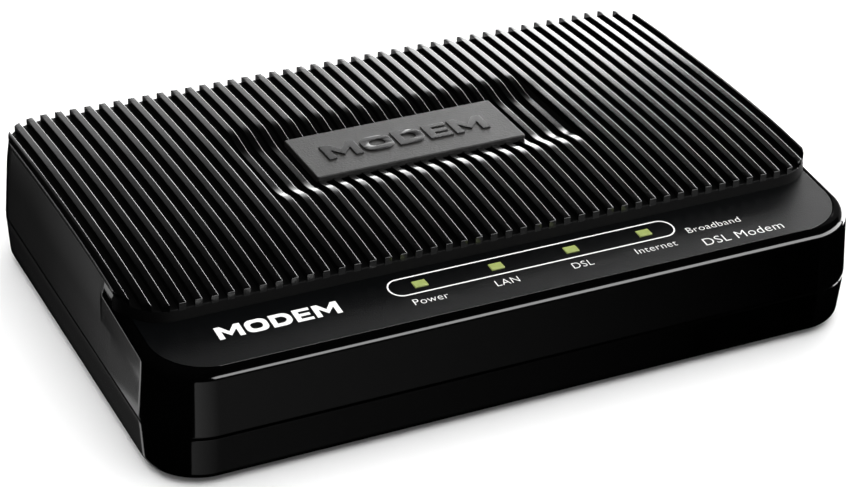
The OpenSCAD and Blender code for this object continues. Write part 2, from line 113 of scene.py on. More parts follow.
def feed(kit, shader, socket, value):
    if isinstance(value, Wire):
        kit.tree.links.new(value.socket, shader.inputs[socket])
    else:
        shader.inputs[socket].default_value = value


def noise(kit, place, size, detail=2.0, roughness=0.5):
    return kit.add("ShaderNodeTexNoise", {}, {"Vector": place, "Scale": 1.0 / size, "Detail": detail,
                                              "Roughness": roughness})


def plastic(name, colour, roughness, grain=0.0002, depth=0.0, wander=0.04, spread=0.15, metallic=0.0,
            specular=0.5):
    # grain is the size and depth the height of the surface texture, wander and spread its unevenness
    material, kit, shader, place = startMaterial(name)
    cloud = noise(kit, place, 0.012, 3.0)
    speck = noise(kit, place, grain, 2.0)
    light = tuple(min(1.0, c * (1 + spread)) for c in colour)
    dark = tuple(c * (1 - spread) for c in colour)
    feed(kit, shader, "Base Color", kit.mixColour(speck * 0.6 + cloud * 0.4, rgba(dark), rgba(light)))
    feed(kit, shader, "Roughness", roughness + (cloud - 0.5) * wander + (speck - 0.5) * wander)
    shader.inputs["Metallic"].default_value = metallic
    shader.inputs["Specular IOR Level"].default_value = specular
    if depth:
        bump = kit.add("ShaderNodeBump", {}, {"Strength": 1.0, "Distance": depth, "Height": speck}, "Normal")
        feed(kit, shader, "Normal", bump)
    return material


def polishedBlack(name):
    # mirror-smooth mould finish with faint handling haze and a very slight moulding ripple
    material, kit, shader, place = startMaterial(name)
    haze = noise(kit, place, 0.02, 4.0, 0.6)
    ripple = noise(kit, place, 0.03, 1.0)
    feed(kit, shader, "Base Color", kit.mixColour(haze, rgba((0.0002,) * 3), rgba((0.0006,) * 3)))
    feed(kit, shader, "Roughness", 0.05 + haze * 0.05)
    bump = kit.add("ShaderNodeBump", {}, {"Strength": 1.0, "Distance": 0.000004, "Height": ripple}, "Normal")
    feed(kit, shader, "Normal", bump)
    return material


def glowingWindowGreen(name):
    # translucent yellow-green tips of the light pipe, a little brighter in the middle of the grain; the tint
    # is also emitted as a painted glow that brightens the windows
    material, kit, shader, place = startMaterial(name)
    cloud = noise(kit, place, 0.0009, 2.0)
    tint = kit.mixColour(cloud, rgba((0.18, 0.22, 0.06)), rgba((0.29, 0.345, 0.11)))
    feed(kit, shader, "Base Color", tint)
    # painted glow: the window tint is emitted at strength 0.2, though the light pipe is no lamp
    feed(kit, shader, "Emission Color", tint)
    shader.inputs["Emission Strength"].default_value = 0.2
    feed(kit, shader, "Roughness", 0.25 + cloud * 0.1)
    return material


finishes = {
    "gloss": polishedBlack("polishedBlack"),
    "fine": plastic("fineTextureBlack", (0.0008, 0.0009, 0.001), 0.36, 0.00024, 0.00003, 0.08, 0.5,
                    specular=0.22),
    "rib": plastic("ribTextureBlack", (0.0008, 0.0008, 0.0008), 0.13, 0.00025, 0.000008, 0.08, 0.5),
    "groove": plastic("grooveMatte", (0.0008, 0.0008, 0.0008), 0.6, 0.0003, 0.00001, 0.08, 0.3, specular=0.1),
    "badge": plastic("badgeGrain", (0.0085, 0.0082, 0.0078), 0.5, 0.00035, 0.00006, 0.1, 0.35, specular=0.35),
    "letter": plastic("letterPolish", (0.006, 0.006, 0.006), 0.22, 0.0006, 0.0, 0.05, 0.2, specular=0.4),
    "print": plastic("whitePrint", (0.78, 0.78, 0.77), 0.5, 0.0003, 0.0, 0.1, 0.05),
    "window": glowingWindowGreen("glowingWindowGreen"),
    "socket": plastic("socketBlack", (0.014, 0.014, 0.015), 0.38, 0.0003, 0.000006, 0.08, 0.3),
    "switch": plastic("switchGrey", (0.06, 0.06, 0.062), 0.4, 0.0003, 0.000006),
    "button": plastic("buttonCharcoal", (0.03, 0.03, 0.031), 0.35, 0.0003, 0.00001),
    "plunger": plastic("plungerIvory", (0.66, 0.65, 0.6), 0.4, 0.0004, 0.000004),
    "gold": plastic("goldPlate", (0.83, 0.6, 0.25), 0.2, 0.0005, 0.0, 0.08, 0.06, 1.0),
    "nickel": plastic("nickelPlate", (0.72, 0.71, 0.68), 0.18, 0.0005, 0.0, 0.08, 0.05, 1.0),
    "zinc": plastic("zincPlate", (0.5, 0.51, 0.52), 0.32, 0.0004, 0.000004, 0.12, 0.12, 1.0),
    "can": plastic("drawnSteel", (0.55, 0.56, 0.57), 0.3, 0.0006, 0.000004, 0.1, 0.08, 1.0),
    "mask": plastic("solderMask", (0.012, 0.12, 0.04), 0.25, 0.0008, 0.000004, 0.08, 0.2),
    "epoxy": plastic("chipEpoxy", (0.018, 0.018, 0.019), 0.6, 0.00025, 0.00001, 0.08, 0.25),
    "ferrite": plastic("ferriteGrey", (0.07, 0.068, 0.065), 0.55, 0.0005, 0.00002, 0.1, 0.25),
    "glaze": plastic("arresterGlaze", (0.5, 0.25, 0.1), 0.2, 0.0008, 0.0, 0.05, 0.1),
    "sleeve": plastic("capacitorSleeve", (0.02, 0.03, 0.09), 0.3, 0.001, 0.000004, 0.06, 0.15),
    "copper": plastic("enamelCopper", (0.45, 0.16, 0.06), 0.3, 0.0004, 0.00002, 0.1, 0.2, 1.0),
    "lens": plastic("ledLens", (0.7, 0.78, 0.5), 0.25, 0.0006, 0.0, 0.05, 0.05),
    "rubber": plastic("footRubber", (0.022, 0.022, 0.022), 0.75, 0.0003, 0.00002, 0.1, 0.25),
    "film": plastic("labelFilm", (0.62, 0.63, 0.64), 0.35, 0.0006, 0.000003, 0.08, 0.04),
}
print("materials made:", len(finishes))


# mesh helpers, all in millimetres

def toObject(name, bm, materials, angle=30):
    mesh = bpy.data.meshes.new(name)
    bm.transform(Matrix.Scale(mm, 4))
    bm.to_mesh(mesh)
    bm.free()
    return finishMesh(name, mesh, materials, angle)


def finishMesh(name, mesh, materials, angle=30):
    for index, material in enumerate(materials):
        if index < len(mesh.materials):
            mesh.materials[index] = material
        else:
            mesh.materials.append(material)
    for face in mesh.polygons:
        face.use_smooth = True
    mesh.set_sharp_from_angle(angle=math.radians(angle))
    piece = bpy.data.objects.new(name, mesh)
    bpy.context.scene.collection.objects.link(piece)
    return piece


def settle(piece, name, materials, angle=30):
    graph = bpy.context.evaluated_depsgraph_get()
    mesh = bpy.data.meshes.new_from_object(piece.evaluated_get(graph))
    old = piece.data
    bpy.data.objects.remove(piece)
    if old.users == 0 and isinstance(old, bpy.types.Mesh):
        bpy.data.meshes.remove(old)
    mesh.name = name
    return finishMesh(name, mesh, materials, angle)


def addLoft(bm, rings, slots=None, closed=True):
    # rings are equal lists of points; slots gives each band's material
    loops = [[bm.verts.new(p) for p in ring] for ring in rings]
    count = len(loops[0])
    for k in range(len(loops) - 1):
        for i in range(count):
            j = (i + 1) % count
            face = bm.faces.new((loops[k][i], loops[k][j], loops[k + 1][j], loops[k + 1][i]))
            face.material_index = slots[k] if slots else 0
    if closed:
        bm.faces.new(loops[0][::-1]).material_index = 0
        bm.faces.new(loops[-1]).material_index = slots[-1] if slots else 0
    return loops


def outline(halfX, front, back, frontR, backR, inset=0.0, steps=20):
    # rounded rectangle seen from above, anticlockwise from the right side
    points = []
    corners = ((halfX - backR, back - backR, backR, 0), (-halfX + backR, back - backR, backR, 90),
               (-halfX + frontR, front + frontR, frontR, 180), (halfX - frontR, front + frontR, frontR, 270))
    for x, y, radius, start in corners:
        for k in range(steps + 1):
            a = math.radians(start + 90 * k / steps)
            r = radius - inset
            points.append((x + r * math.cos(a), y + r * math.sin(a)))
    return points


def addBox(bm, low, high):
    low, high = Vector(low), Vector(high)
    made = bmesh.ops.create_cube(bm, size=1.0)
    size = high - low
    bmesh.ops.transform(bm, matrix=Matrix.Translation((low + high) / 2) @ Matrix.Diagonal((*size, 1)),
                        verts=made["verts"])


def addLathe(bm, centre, profile, axis="Z", steps=48):
    # profile is a list of (radius, height), bottom to top
    spot = Matrix.Translation(centre)
    if axis == "Y":
        spot = spot @ Matrix.Rotation(math.radians(-90), 4, "X")
    angles = [2 * math.pi * k / steps for k in range(steps)]
    addLoft(bm, [[spot @ Vector((r * math.cos(a), r * math.sin(a), h)) for a in angles] for r, h in profile])


def addTube(bm, centre, radius, low, high, axis="Z"):
    addLathe(bm, centre, ((radius, low), (radius, high)), axis)


def combine(piece, tool, operation):
    change = piece.modifiers.new(operation, "BOOLEAN")
    change.operation = operation
    change.solver = "EXACT"
    change.object = tool
    name, materials = piece.name, list(piece.data.materials)
    done = settle(piece, name, materials)
    bpy.data.objects.remove(tool)
    return done


def reshape(shell, build, skins, operation):
    # adds what a function builds to the shell, or cuts it away
    bm = bmesh.new()
    build(bm)
    return combine(shell, toObject(build.__name__, bm, skins), operation)


def softened(node, width, finish, name):
    # the CAD node's shape again, welded, with its edges rounded
    bm = bmesh.new()
    bm.from_mesh(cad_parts[node].data)
    bmesh.ops.remove_doubles(bm, verts=bm.verts, dist=0.000001)
    bmesh.ops.dissolve_limit(bm, angle_limit=math.radians(1), verts=bm.verts, edges=bm.edges)
    mesh = bpy.data.meshes.new(name)
    bm.to_mesh(mesh)
    bm.free()
    piece = finishMesh(name, mesh, [finishes[finish]])
    bevel = piece.modifiers.new("edges", "BEVEL")
    bevel.width = width * mm
    bevel.segments = 2
    bevel.limit_method = "ANGLE"
    bevel.angle_limit = math.radians(35)
    return settle(piece, name, [finishes[finish]], 40)


def weightNormals(piece):
    # flat faces keep their own shading beside narrow rounded edges
    change = piece.modifiers.new("normals", "WEIGHTED_NORMAL")
    change.keep_sharp = True
    change.weight = 100
    graph = bpy.context.evaluated_depsgraph_get()
    mesh = bpy.data.meshes.new_from_object(piece.evaluated_get(graph))
    old = piece.data
    piece.modifiers.clear()
    piece.data = mesh
    bpy.data.meshes.remove(old)
    mesh.name = piece.name


def place(piece, slot, body="case", nodes=()):
    weightNormals(piece)
    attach(piece, body)
    if nodes:
        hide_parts(*nodes)
    return piece


def boxOf(node):
    low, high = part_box(node)
    return [v / mm for v in low], [v / mm for v in high]


# the case

lowerLow, lowerHigh = boxOf("lower_shell")
upperLow, upperHigh = boxOf("upper_shell")

case = {
    "halfX": lowerHigh[0],
    "halfY": lowerHigh[1],
    "cornerR": 11.0,
    "wall": 2.0,
    "draft": math.tan(math.radians(4)),
    "baseZ": lowerLow[2],
    "gap": 0.4,
    "tongueIn": 1.2,
    "tongueH": 1.4,
    "panelH": 21.6,
    "panelSlope": 1.3 / 17.2,
    "panelDepth": 17.2,
    "deckH": upperHigh[2] - lowerLow[2],
    "crownY": -4.0,
    "frontFall": 1.2,
    "backFall": 2.2,
    "deckR": 8.5,
    "grooveDepth": 1.2,
    "edgeR": 1.5,     # rounded top edge of the status panel
    "bottomR": 1.6,
    "rimWidth": 1.6,  # polished rim around the status panel
    "rimR": 10.5,
    "rimGroove": 0.35,
}
splitZ = upperLow[2] - case["gap"] / 2
deckY = case["panelDepth"] - case["halfY"]
topZ = case["baseZ"] + case["deckH"]


def lean(height):
    return max(0.0, height) * case["draft"]


def panelZ(y):
    return case["baseZ"] + case["panelH"] + case["panelSlope"] * (y + case["halfY"])


badgeLow, badgeHigh = boxOf("badge_plate")
dish = {
    "x": (badgeLow[0] + badgeHigh[0]) / 2,
    "y": 8.2,
    "halfX": 33.7,
    "front": -6.7,
    "back": 23.2,
    "sideBend": 4.6,
    "frontBend": 7.0,
    "backBend": 8.6,
    "depth": 1.4,
}


def ease(t):
    t = min(1.0, max(0.0, t))
    return t * t * (3 - 2 * t)


frontCurve = case["frontFall"] / (case["crownY"] - deckY) ** 2
backCurve = case["backFall"] / (case["halfY"] - case["crownY"]) ** 2


def crownZ(y):
    past = y - case["crownY"]
    return topZ - (frontCurve if past < 0 else backCurve) * past * past


def deckZ(x, y):
    sink = (ease((dish["halfX"] - abs(x - dish["x"])) / dish["sideBend"])
            * ease(min((y - dish["front"]) / dish["frontBend"], (dish["back"] - y) / dish["backBend"])))
    return crownZ(y) - dish["depth"] * sink


def caseRing(inset, z):
    points = outline(case["halfX"], -case["halfY"], case["halfY"], case["cornerR"], case["cornerR"], inset)
    return [(x, y, z) for x, y in points]


# recess at the back that holds the sockets, and what the lower shell carries
bay = {"low": 6.6, "high": 22.5, "x0": -43.0, "x1": 49.0, "lap": 1.5, "depth": 2.9, "wallTop": 22.9,
       "socketGap": 0.4, "buttonR": 3.6, "pinholeR": 1.2}
bayFace = case["halfY"] - bay["depth"]
screw = {"spots": [(x, y) for x in (-57, 57) for y in (-33, 30)], "columnR": 4.2, "columnTop": 10.2,
         "recessR": 3.2, "recess": 3.0, "holeR": 1.7, "holeTop": 12.0}
foot = {"spots": [(x, y) for x in (-45, 45) for y in (-37, 36)], "recessR": 5.2, "recess": 0.3, "radius": 5.0,
        "edge": 0.4}
vent = {"columns": 12, "pitch": 4.0, "rows": 60.0, "size": (1.8, 15.0, 4.0)}


def buildLowerShell():
    base, landing = case["baseZ"], splitZ - case["gap"] / 2
    drop = lean(splitZ - base)
    r = case["bottomR"]
    rings = [caseRing(drop + r + 4, base)]
    for k in range(9):
        a = math.radians(90 * k / 8)
        rise = r * (1 - math.cos(a))
        rings.append(caseRing(drop + r * (1 - math.sin(a)) - lean(rise), base + rise))
    for k in range(1, 5):
        z = base + r + (landing - 0.25 - base - r) * k / 4
        rings.append(caseRing(lean(splitZ - z), z))
    tongueTop, wall, floor = splitZ + case["tongueH"], case["wall"], base + case["wall"]
    rings += [caseRing(inset, z) for inset, z in (
        (0.05, landing - 0.12), (0.2, landing), (case["tongueIn"], landing), (case["tongueIn"], tongueTop),
        (wall, tongueTop), (wall, splitZ), (wall + drop, floor), (wall + drop + 3, floor))]
    skins = [finishes["gloss"]]
    bm = bmesh.new()
    addLoft(bm, rings)
    shell = toObject("lowerShell", bm, skins)

    def socketWall(bm):
        addBox(bm, (bay["x0"] - bay["lap"], bayFace - wall, floor - 0.5),
               (bay["x1"] + bay["lap"], bayFace, bay["wallTop"]))

    def sill(bm):
        addBox(bm, (bay["x0"] - bay["lap"] + 0.01, bayFace - wall + 0.5, floor - 0.3),
               (bay["x1"] + bay["lap"] - 0.01, case["halfY"] - 1.2, bay["low"]))

    def columns(bm):
        for x, y in screw["spots"]:
            addTube(bm, (x, y, 0), screw["columnR"], base + 1, screw["columnTop"])

    def bayCut(bm):
        addBox(bm, (bay["x0"], bayFace, bay["low"]), (bay["x1"], bayFace + 9, 30))

    def backCuts(bm):
        gap = bay["socketGap"]
        for node in ("ethernet_jack", "phone_jack", "power_jack"):
            low, high = boxOf(node)
            addBox(bm, (low[0] - gap, bayFace - 4, low[2] - gap), (high[0] + gap, bayFace + 2, high[2] + gap))
        for node, radius in (("power_button", bay["buttonR"]), ("reset_plunger", bay["pinholeR"])):
            low, high = boxOf(node)
            addTube(bm, ((low[0] + high[0]) / 2, bayFace, (low[2] + high[2]) / 2), radius, -4, 2, "Y")

    def screwCuts(bm):
        shoulder = base + screw["recess"]
        for x, y in screw["spots"]:
            addLathe(bm, (x, y, 0), ((screw["recessR"], base - 1), (screw["recessR"], shoulder),
                                     (screw["holeR"], shoulder), (screw["holeR"], screw["holeTop"])))

    def footCuts(bm):
        for x, y in foot["spots"]:
            addTube(bm, (x, y, 0), foot["recessR"], base - 1, base + foot["recess"])

    for build in (socketWall, sill, columns):
        shell = reshape(shell, build, skins, "UNION")
    for build in (bayCut, backCuts, screwCuts, footCuts):
        shell = reshape(shell, build, skins, "DIFFERENCE")
    shell = combine(shell, ventCutters(), "DIFFERENCE")
    return place(shell, "case_plastic", nodes=["lower_shell"])


# geometry nodes

def nodeTree(name, inputs):
    tree = bpy.data.node_groups.new(name, "GeometryNodeTree")
    tree.interface.new_socket("Geometry", in_out="OUTPUT", socket_type="NodeSocketGeometry")
    for label, (kind, value) in inputs.items():
        socket = tree.interface.new_socket(label, in_out="INPUT", socket_type="NodeSocket" + kind)
        if value is not None:
            socket.default_value = value
    kit = Kit(tree)
    source = tree.nodes.new("NodeGroupInput")
    wires = {label: Wire(kit, source.outputs[label]) for label in inputs}
    return tree, kit, wires


def endTree(kit, geometry, material):
    real = kit.add("GeometryNodeRealizeInstances", {}, {0: geometry})
    painted = kit.add("GeometryNodeSetMaterial", {}, {0: real, "Material": material})
    output = kit.tree.nodes.new("NodeGroupOutput")
    kit.tree.links.new(painted.socket, output.inputs[0])


def growTree(name, tree, values, materials, angle=30):
    mesh = bpy.data.meshes.new(name + "Seed")
    host = bpy.data.objects.new(name + "Seed", mesh)
    bpy.context.scene.collection.objects.link(host)
    change = host.modifiers.new("nodes", "NODES")
    change.node_group = tree
    for item in tree.interface.items_tree:
        if item.item_type == "SOCKET" and item.in_out == "INPUT" and item.name in values:
            change[item.identifier] = values[item.name]
    return settle(host, name, materials, angle)


def slotTree():
    # rows of straight slots as solid cutters
    tree, kit, w = nodeTree("ventRows", {
        "Columns": ("Int", 12), "Pitch": ("Float", 0.004), "Row Distance": ("Float", 0.06),
        "Slot Size": ("Vector", None), "Height": ("Float", 0.0), "Material": ("Material", None)})
    grid = kit.add("GeometryNodeMeshGrid", {}, {
        "Size X": w["Pitch"] * (w["Columns"] - 1), "Size Y": w["Row Distance"],
        "Vertices X": w["Columns"], "Vertices Y": 2})
    slot = kit.add("GeometryNodeMeshCube", {}, {"Size": w["Slot Size"]})
    many = kit.add("GeometryNodeInstanceOnPoints", {}, {"Points": grid, "Instance": slot})
    lift = kit.add("ShaderNodeCombineXYZ", {}, {"Z": w["Height"]})
    moved = kit.add("GeometryNodeTranslateInstances", {}, {"Instances": many, "Translation": lift})
    endTree(kit, moved, w["Material"])
    return tree


def ventCutters():
    return growTree("ventCutters", slotTree(), {
        "Columns": vent["columns"], "Pitch": vent["pitch"] * mm, "Row Distance": vent["rows"] * mm,
        "Slot Size": [v * mm for v in vent["size"]], "Height": (case["baseZ"] + 1) * mm,
        "Material": finishes["gloss"]}, [finishes["gloss"]])


def ribTree():
    # bars from the front wall to the back wall that follow the deck, its dish and its rounded corners
    lengths = ["First X", "Pitch", "Width", "Left Edge", "Right Edge", "End Edge", "Root", "Half Width",
               "Front Y", "Front Radius", "Back Y", "Back Radius", "Deck Z", "Crown Y", "Dish X",
               "Dish Half X", "Dish Front", "Dish Back", "Side Bend", "Front Bend", "Back Bend", "Dish Depth"]
    inputs = {"Count": ("Int", 45), "Stations": ("Int", 72), "Front Curve": ("Float", 0.0),
              "Back Curve": ("Float", 0.0), "Material": ("Material", None)}
    inputs.update({label: ("Float", 0.001) for label in lengths})
    tree, kit, w = nodeTree("ribBars", inputs)

    # cross-section: a bar hanging from z = 0, its two top edges rounded
    frameCurve = kit.add("GeometryNodeCurvePrimitiveQuadrilateral", {},
                         {"Width": w["Width"], "Height": w["Root"]})
    corner = kit.add("GeometryNodeInputPosition")
    cx = kit.add("ShaderNodeSeparateXYZ", {}, {0: corner}, "X")
    cy = kit.add("ShaderNodeSeparateXYZ", {}, {0: corner}, "Y")
    radius = (cy > 0.0) * ((cx > 0.0) * w["Right Edge"] + (cx < 0.0) * w["Left Edge"])
    section = kit.add("GeometryNodeFilletCurve", {"mode": "POLY"},
                      {"Curve": frameCurve, "Radius": radius, "Count": 4})
    spot = kit.add("GeometryNodeInputPosition")
    px = kit.add("ShaderNodeSeparateXYZ", {}, {0: spot}, "X")
    py = kit.add("ShaderNodeSeparateXYZ", {}, {0: spot}, "Y")

    def keep(geometry, label, value):
        return kit.add("GeometryNodeStoreNamedAttribute", {"data_type": "FLOAT", "domain": "POINT"},
                       {"Geometry": geometry, "Name": label, "Value": value})

    def recall(label):
        return kit.add("GeometryNodeInputNamedAttribute", {"data_type": "FLOAT"}, {"Name": label})

    section = keep(keep(section, "across", px), "up", py - w["Root"] * 0.5)
    path = kit.add("GeometryNodeCurvePrimitiveLine", {}, {"Start": (0, 0, 0), "End": (0, 0.07, 0)})
    path = kit.add("GeometryNodeResampleCurve", {}, {"Curve": path, "Count": w["Stations"]})
    path = keep(path, "along", kit.add("GeometryNodeSplineParameter"))
    bar = kit.add("GeometryNodeCurveToMesh", {},
                  {"Curve": path, "Profile Curve": section, "Fill Caps": True})

    offset = kit.add("ShaderNodeCombineXYZ", {}, {"X": w["Pitch"]})
    start = kit.add("ShaderNodeCombineXYZ", {}, {"X": w["First X"]})
    row = kit.add("GeometryNodeMeshLine", {},
                  {"Count": w["Count"], "Start Location": start, "Offset": offset})
    rowX = kit.add("ShaderNodeSeparateXYZ", {}, {0: kit.add("GeometryNodeInputPosition")}, "X")
    row = keep(row, "ribX", rowX)
    many = kit.add("GeometryNodeInstanceOnPoints", {}, {"Points": row, "Instance": bar})
    ribs = kit.add("GeometryNodeRealizeInstances", {}, {0: many})

    # where every point goes
    ribX, across, up, along = recall("ribX"), recall("across"), recall("up"), recall("along")
    x = ribX + across
    sideways = abs(x)

    def cornerDrop(radiusWire):
        past = (sideways - (w["Half Width"] - radiusWire)).most(0.0).least(radiusWire)
        return radiusWire - (radiusWire * radiusWire - past * past).most(0.0).root()

    front = w["Front Y"] + cornerDrop(w["Front Radius"])
    back = w["Back Y"] - cornerDrop(w["Back Radius"])
    share = 0.5 - (along * math.pi).cosine() * 0.5
    y = front + (back - front) * share

    def easing(distance, bend):
        return kit.add("ShaderNodeMapRange", {"interpolation_type": "SMOOTHSTEP"},
                       {"Value": distance, "From Min": 0.0, "From Max": bend})

    sink = easing(w["Dish Half X"] - abs(ribX - w["Dish X"]), w["Side Bend"]) * easing(
        ((y - w["Dish Front"]) / w["Front Bend"]).least((w["Dish Back"] - y) / w["Back Bend"]), 1.0)
    ahead, behind = (w["Crown Y"] - y).most(0.0), (y - w["Crown Y"]).most(0.0)
    fall = w["Front Curve"] * ahead * ahead + w["Back Curve"] * behind * behind
    edge = w["End Edge"]
    near = (edge - (y - front).least(back - y)).most(0.0).least(edge)
    drop = edge - (edge * edge - near * near).most(0.0).root()
    z = w["Deck Z"] - fall - w["Dish Depth"] * sink + up - drop
    target = kit.add("ShaderNodeCombineXYZ", {}, {"X": ribX + across * (1.0 - drop * 260.0), "Y": y, "Z": z})
    shaped = kit.add("GeometryNodeSetPosition", {}, {"Geometry": ribs, "Position": target})
    endTree(kit, shaped, w["Material"])
    return tree


rib = {
    "count": 47,
    "pitch": 3.0,
    "width": 1.4,
    "edge": 0.11,      # rounding of a rib's left edge
    "edgeRight": 0.2,
    "endEdge": 0.2,
    "outerEdge": 0.85,  # rounding of the deck's outer edge
    "root": 1.9,
    "stations": 84,
}


def buildRibs():
    tree = ribTree()
    half = case["halfX"] - lean(topZ - splitZ) - 0.02
    common = {
        "Stations": rib["stations"], "Root": rib["root"] * mm, "End Edge": rib["endEdge"] * mm,
        "Half Width": half * mm, "Front Y": (deckY - 0.012) * mm, "Front Radius": case["deckR"] * mm,
        "Back Y": (case["halfY"] - lean(topZ - splitZ) - 0.02) * mm,
        "Back Radius": (case["cornerR"] - lean(topZ - splitZ)) * mm,
        "Deck Z": (topZ - 0.005) * mm, "Crown Y": case["crownY"] * mm,
        "Front Curve": frontCurve / mm, "Back Curve": backCurve / mm, "Material": finishes["rib"],
        "Dish X": dish["x"] * mm, "Dish Half X": dish["halfX"] * mm, "Dish Front": dish["front"] * mm,
        "Dish Back": dish["back"] * mm, "Side Bend": dish["sideBend"] * mm,
        "Front Bend": dish["frontBend"] * mm, "Back Bend": dish["backBend"] * mm,
        "Dish Depth": dish["depth"] * mm,
    }
    last = (rib["count"] - 1) / 2 * rib["pitch"]
    inner = last - rib["width"] / 2
    bandWidth = half - inner
    groups = [
        ("deckRibs", rib["count"] - 2, -last + rib["pitch"], rib["width"], rib["edge"], rib["edgeRight"]),
        ("leftEdgeRib", 1, -(half + inner) / 2, bandWidth, rib["outerEdge"], rib["edge"]),
        ("rightEdgeRib", 1, (half + inner) / 2, bandWidth, rib["edge"], rib["outerEdge"]),
    ]
    for name, count, firstX, width, leftEdge, rightEdge in groups:
        piece = growTree(name, tree, {
            **common, "Count": count, "First X": firstX * mm, "Pitch": rib["pitch"] * mm, "Width": width * mm,
            "Left Edge": leftEdge * mm, "Right Edge": rightEdge * mm}, [finishes["rib"]], 40)
        place(piece, "case_plastic", nodes=["upper_shell"])


# upper shell

def frontBlock(bm):
    # walls, rounded edge, polished rim, fine groove and status panel; its back end is inside the deck
    shy = 0.006
    backY = -12.0

    def ring(inset, rise=None, z=None, cornerR=None):
        if cornerR is None:
            points = outline(case["halfX"] - shy, -case["halfY"], backY, case["cornerR"], 5.0, inset)
        else:
            points = outline(case["halfX"] - shy - inset, inset - case["halfY"], backY - inset, cornerR, 5.0)
        return [(x, y, z if z is not None else panelZ(y) + rise) for x, y in points]

    low = splitZ + case["gap"] / 2
    high = case["baseZ"] + case["panelH"]
    r = case["edgeR"]
    top = lean(high - splitZ)
    rings = [ring(4.8, z=low), ring(0.2, z=low), ring(0.05, z=low + 0.1)]
    for k in range(4):
        z = low + 0.3 + (high - r - low - 0.3) * k / 4
        rings.append(ring(lean(z - splitZ), z=z))
    for k in range(9):
        a = math.radians(90 * k / 8)
        rise = r * math.sin(a)
        rings.append(ring(top - lean(r) + r * (1 - math.cos(a)) + lean(rise), rise=rise - r))
    rim, groove = top + case["rimWidth"], case["rimGroove"]
    for inset, rise in ((rim - 0.05, 0), (rim, -0.05), (rim + 0.04, -0.22), (rim + groove - 0.04, -0.22),
                        (rim + groove, -0.07), (rim + groove + 0.05, -0.02)):
        rings.append(ring(inset, rise=rise, cornerR=case["rimR"] + rim - inset))
    rings.append(ring(4.9, rise=-0.02, cornerR=10.0))
    addLoft(bm, rings, [0] * (len(rings) - 3) + [1] * 3)  # the panel inside the groove is textured


def deckBlock(bm):
    # top grid at the bottom of the grooves, with the dish, and walls down to the parting line
    r = 0.3
    topLean = lean(topZ - splitZ)
    half = case["halfX"] - topLean
    front, back = deckY, case["halfY"] - topLean
    frontR, backR = case["deckR"], case["cornerR"] - topLean
    rows, columns = 96, 96
    shares = [0.5 - 0.5 * math.cos(math.pi * k / (rows - 1)) for k in range(rows)]
    ys = [front + r + (back - front - 2 * r) * share for share in shares]

    def halfAt(y):
        if y < front + frontR:
            rr, past = frontR - r, front + frontR - y
            return half - frontR + math.sqrt(max(0, rr * rr - past * past))
        if y > back - backR:
            rr, past = backR - r, y - (back - backR)
            return half - backR + math.sqrt(max(0, rr * rr - past * past))
        return half - r

    grid = []
    for y in ys:
        xs = [halfAt(y) * (2 * i / columns - 1) for i in range(columns + 1)]
        grid.append([bm.verts.new((x, y, deckZ(x, y) - case["grooveDepth"])) for x in xs])
    for a, b in zip(grid, grid[1:]):
        for i in range(columns):
            bm.faces.new((a[i], a[i + 1], b[i + 1], b[i])).material_index = 2
    edge = grid[0][:-1] + [row[-1] for row in grid[:-1]] + grid[-1][:0:-1] + [row[0] for row in grid[:0:-1]]

    def outward(v):
        x, y = v.co.x, v.co.y
        side, near = (1 if x > 0 else -1), 1e-6
        for limit, radius, end, sign in ((front + frontR, frontR, front + r, -1),
                                         (back - backR, backR, back - r, 1)):
            if (y - limit) * sign > near and abs(x) > half - radius - near:
                return Vector((x - side * (half - radius), y - limit, 0)).normalized()
            if (y - limit) * sign > near and abs(abs(y) - abs(end)) < near:
                return Vector((0, sign, 0))
        return Vector((side, 0, 0))

    ways = [outward(v) for v in edge]
    starts = [v.co.copy() for v in edge]
    previous = edge
    # each level is its distance outwards with a drop from the grid, or with a height
    seam = splitZ + case["gap"] / 2
    turns = [math.radians(18 * k) for k in range(1, 6)]
    levels = [(r * math.sin(a), -r * (1 - math.cos(a)), None) for a in turns]
    levels += [(r + lean(topZ - z), 0, z) for z in (22, 18, 15, seam + 0.3)]
    levels += [(r + topLean - 0.05, 0, seam + 0.1), (r + topLean - 0.2, 0, seam)]
    for out, down, z in levels:
        current = []
        for start, way in zip(starts, ways):
            p = start + way * out + Vector((0, 0, down))
            if z is not None:
                p.z = z
            current.append(bm.verts.new(p))
        for i in range(len(edge)):
            j = (i + 1) % len(edge)
            face = bm.faces.new((previous[j], previous[i], current[i], current[j]))
            face.material_index = 2 if (ways[i].y + ways[j].y) / 2 < -0.04 or z is None else 0
        previous = current
    bm.faces.new(previous[::-1]).material_index = 0


lights = {"count": 4, "pitch": 15.2, "x": 5.8, "halfX": 1.4, "halfY": 1.1}
windowXs = [lights["x"] + (i - (lights["count"] - 1) / 2) * lights["pitch"] for i in range(lights["count"])]
lightY = sum(side[1] for side in boxOf("light_pipe")) / 2


def buildUpperShell():
    skins = [finishes["gloss"], finishes["fine"], finishes["groove"]]
    bm = bmesh.new()
    frontBlock(bm)
    shell = toObject("upperShell", bm, skins)

    def deck(bm):
        deckBlock(bm)
        bmesh.ops.recalc_face_normals(bm, faces=bm.faces)

    def hollow(bm):
        addLoft(bm, [caseRing(case["wall"] + lean(z - splitZ), z) for z in (splitZ - 3, 20.3)])

    def hollowDeck(bm):
        addLoft(bm, [[(x, y, z) for x, y in outline(66, deckY + 3, 43.6, 7, 7)] for z in (19, 22.4)])

    def openings(bm):
        addBox(bm, (bay["x0"], bayFace, splitZ - 3), (bay["x1"], bayFace + 9, bay["high"]))
        for x in windowXs:
            addBox(bm, (x - lights["halfX"], lightY - lights["halfY"], 15),
                   (x + lights["halfX"], lightY + lights["halfY"], 30))

    shell = reshape(shell, deck, skins, "UNION")
    for build in (hollow, hollowDeck, openings):
        shell = reshape(shell, build, skins, "DIFFERENCE")
    return place(shell, "case_plastic", nodes=["upper_shell"])


buildLowerShell()
print("lower shell made")
buildUpperShell()
print("upper shell made")
buildRibs()
print("ribs made")


# badge

